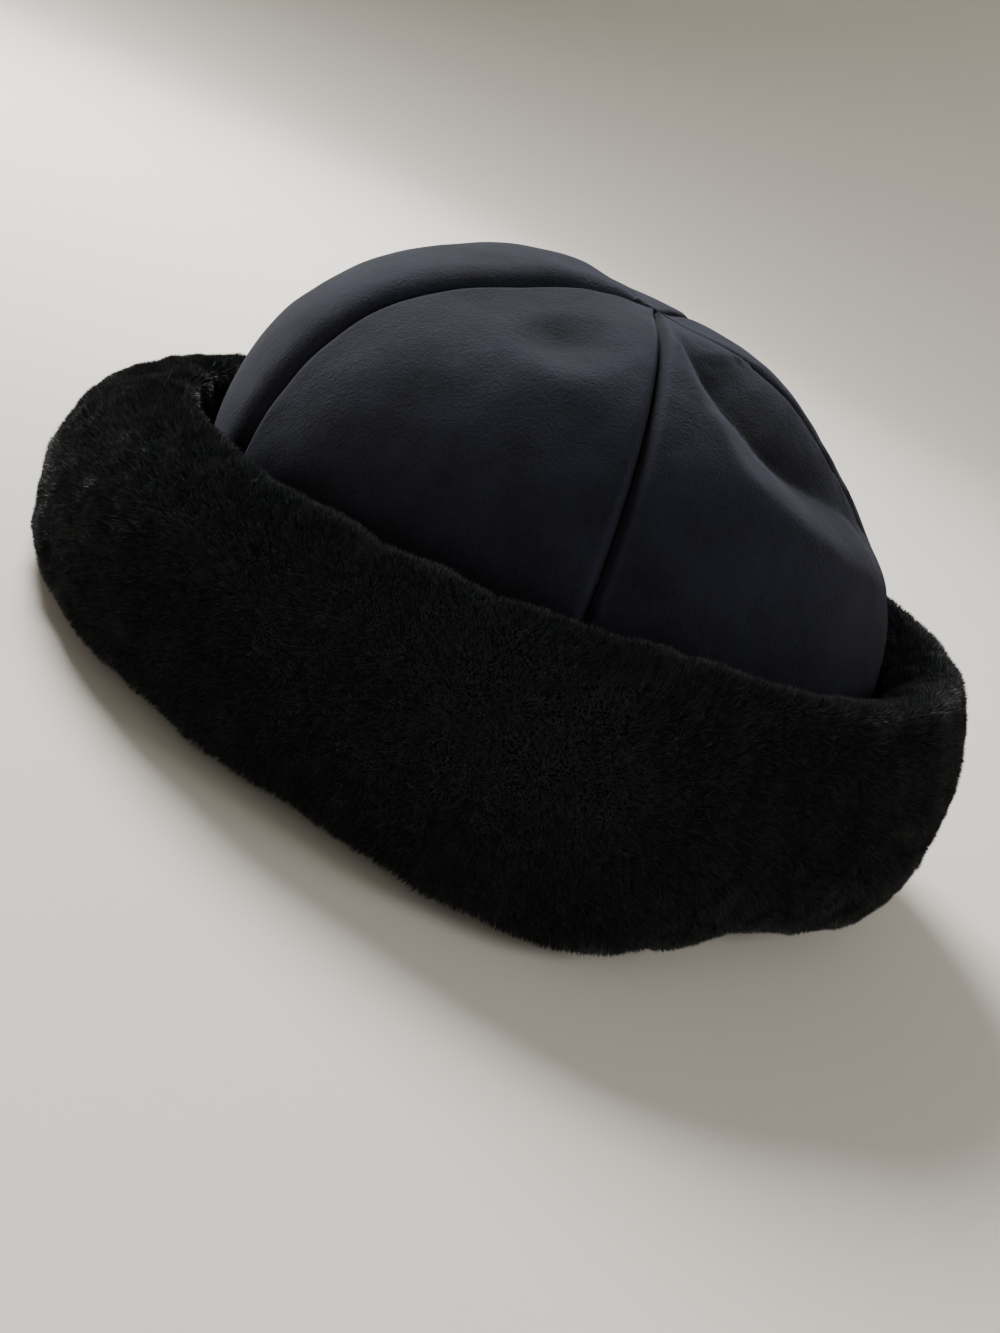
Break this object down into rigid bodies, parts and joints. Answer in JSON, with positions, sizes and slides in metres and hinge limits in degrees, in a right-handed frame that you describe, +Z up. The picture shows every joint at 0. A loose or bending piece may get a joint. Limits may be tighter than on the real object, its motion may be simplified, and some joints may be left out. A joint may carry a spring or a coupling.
{
  "type": "shearling hat",
  "caption": "Soft winter hat: padded suede crown of sewn gores in a deep cuff turned up all round, fleece outside.",
  "frame": {"origin": "middle of the hat's box at the level that it stands on", "axes": "-Y to the hat's front, +X to the wearer's left, +Z up"},
  "size_m": [0.2574, 0.3022, 0.1443],
  "materials": {
    "suede": "matt napped navy suede",
    "fleece": "dense sheared black fleece"
  },
  "bodies": {
    "root": {"gore_front": "suede", "gore_side_left": "suede", "gore_side_right": "suede", "gore_back_left": "suede", "gore_back_right": "suede", "brim_skin": "suede", "brim_fleece": "fleece"}
  },
  "joints": []
}
